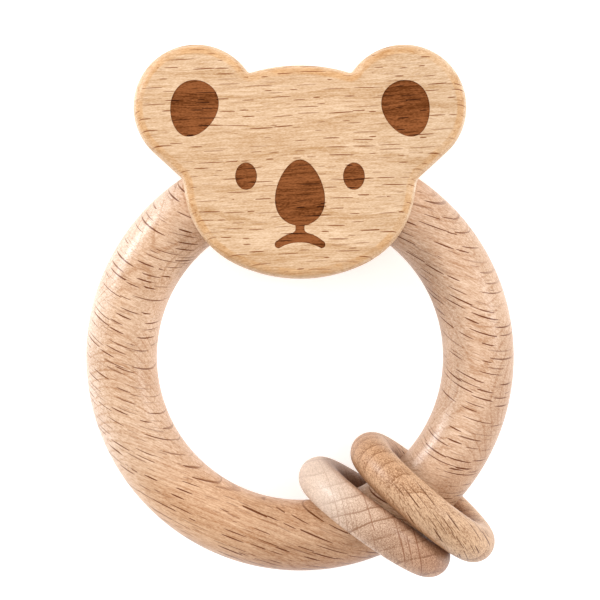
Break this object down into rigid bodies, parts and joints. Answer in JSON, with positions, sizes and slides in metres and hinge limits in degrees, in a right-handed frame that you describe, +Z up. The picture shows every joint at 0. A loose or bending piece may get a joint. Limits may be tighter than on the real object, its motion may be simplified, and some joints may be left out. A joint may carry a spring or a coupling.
{
  "type": "baby rattle",
  "caption": "Wooden ring rattle: a round ring handle held in an eared animal-face head, with small loose rings threaded on the handle that slide round it and knock together.",
  "frame": {"origin": "on the surface that the rattle lies on, under the middle of its bounding box", "axes": "+X to the right as one looks at the face, +Y towards the top of the head, +Z up, out of the face. The rattle lies on its back: the backs of the ears and the rims of the small rings touch the surface, which tips its own plane by 3.2 degrees about X."},
  "size_m": [0.07, 0.0866, 0.0289],
  "materials": {
    "beech_handle": "fine-sanded, bare",
    "beech_head": "fine-sanded, bare, with scorched marks",
    "beech_dowel": "sawn, bare",
    "beech_lower_ring": "fine-sanded, bare",
    "beech_upper_ring": "fine-sanded, bare"
  },
  "bodies": {
    "rattle": {"handle_ring": "beech_handle", "head_front": "beech_head", "head_back": "beech_head", "dowel_left": "beech_dowel", "dowel_right": "beech_dowel"},
    "lower_ring": {"rattle_ring_lower": "beech_lower_ring"},
    "upper_ring": {"rattle_ring_upper": "beech_upper_ring"}
  },
  "joints": [
    {"name": "lower_ring_orbit", "type": "hinge", "parent": "rattle", "child": "lower_ring", "pos_m": [0, -0.00758, 0.0117], "axis": [0, 0.0558, 0.9984], "range_deg": [-141, 0]},
    {"name": "upper_ring_orbit", "type": "hinge", "parent": "rattle", "child": "upper_ring", "pos_m": [0, -0.00758, 0.0117], "axis": [0, 0.0558, 0.9984], "range_deg": [0, 91]}
  ]
}
